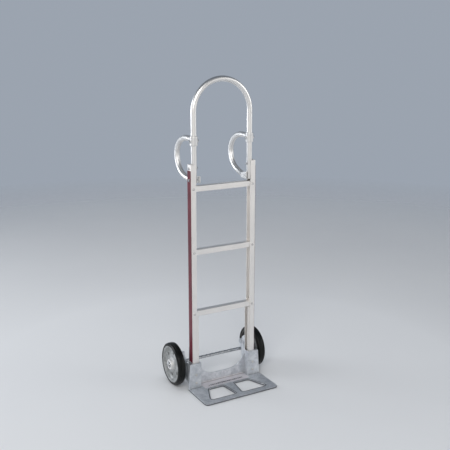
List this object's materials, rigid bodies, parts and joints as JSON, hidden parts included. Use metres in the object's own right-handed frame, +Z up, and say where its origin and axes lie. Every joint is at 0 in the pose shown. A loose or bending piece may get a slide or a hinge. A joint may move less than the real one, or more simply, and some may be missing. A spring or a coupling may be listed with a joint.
{
  "type": "hand truck",
  "caption": "Upright hand truck: channel rails, cross braces, loop handle, rear D grips, cast nose plate with sockets, solid rubber wheels on one axle.",
  "frame": {"origin": "on the floor, under the middle of the overall width and depth", "axes": "+Z up the rails, +X across the truck to the right seen from the load side, +Y from the load side towards the wheels and the hand grips"},
  "size_m": [0.592, 0.456, 1.7216],
  "materials": {
    "satin_aluminium": "satin extruded aluminium, faint lengthwise drawing lines",
    "polished_aluminium": "bright, lightly brushed tube and bar",
    "cast_aluminium": "rough sand-cast skin, matt, mottled",
    "cast_hub": "die-cast skin with a machined rim and boss",
    "red_strip": "dark red vinyl strip",
    "black_rubber": "smooth moulded black rubber",
    "zinc_steel": "zinc-plated",
    "bearing_steel": "ground bearing steel"
  },
  "bodies": {
    "frame": {"axle": "zinc_steel", "axle_bracket_left": "cast_aluminium", "axle_bracket_right": "cast_aluminium", "axle_clip_left": "bearing_steel", "axle_clip_right": "bearing_steel", "brace_rivet_bottom_left": "zinc_steel", "brace_rivet_bottom_right": "zinc_steel", "brace_rivet_middle_left": "zinc_steel", "brace_rivet_middle_right": "zinc_steel", "brace_rivet_top_left": "zinc_steel", "brace_rivet_top_right": "zinc_steel", "bracket_bolt_lower_left": "zinc_steel", "bracket_bolt_lower_right": "zinc_steel", "bracket_bolt_upper_left": "zinc_steel", "bracket_bolt_upper_right": "zinc_steel", "cross_brace_bottom": "satin_aluminium", "cross_brace_middle": "satin_aluminium", "cross_brace_top": "satin_aluminium", "grip_collar_bolt_left": "zinc_steel", "grip_collar_bolt_right": "zinc_steel", "grip_left": "polished_aluminium", "grip_right": "polished_aluminium", "handle_bolt_lower_left": "zinc_steel", "handle_bolt_lower_right": "zinc_steel", "handle_bolt_upper_left": "zinc_steel", "handle_bolt_upper_right": "zinc_steel", "handle_spacer_left": "cast_aluminium", "handle_spacer_right": "cast_aluminium", "inner_spacer_left": "zinc_steel", "inner_spacer_right": "zinc_steel", "loop_handle": "polished_aluminium", "lower_channel_left": "satin_aluminium", "lower_channel_right": "satin_aluminium", "nose_bolt_lower_left": "zinc_steel", "nose_bolt_lower_right": "zinc_steel", "nose_bolt_upper_left": "zinc_steel", "nose_bolt_upper_right": "zinc_steel", "nose_plate": "cast_aluminium", "outer_washer_left": "zinc_steel", "outer_washer_right": "zinc_steel", "rail_left": "satin_aluminium", "rail_right": "satin_aluminium", "side_strip_left": "red_strip", "side_strip_right": "red_strip"},
    "wheel_left": {"bearing_inner_left": "bearing_steel", "bearing_outer_left": "bearing_steel", "bearing_sleeve_left": "zinc_steel", "hub_left": "cast_hub", "tyre_left": "black_rubber"},
    "wheel_right": {"bearing_inner_right": "bearing_steel", "bearing_outer_right": "bearing_steel", "bearing_sleeve_right": "zinc_steel", "hub_right": "cast_hub", "tyre_right": "black_rubber"}
  },
  "joints": [
    {"name": "wheel_left_spin", "type": "hinge", "parent": "frame", "child": "wheel_left", "pos_m": [-0.259, 0.108, 0.12], "axis": [1, 0, 0], "continuous": true},
    {"name": "wheel_right_spin", "type": "hinge", "parent": "frame", "child": "wheel_right", "pos_m": [0.259, 0.108, 0.12], "axis": [1, 0, 0], "continuous": true}
  ]
}
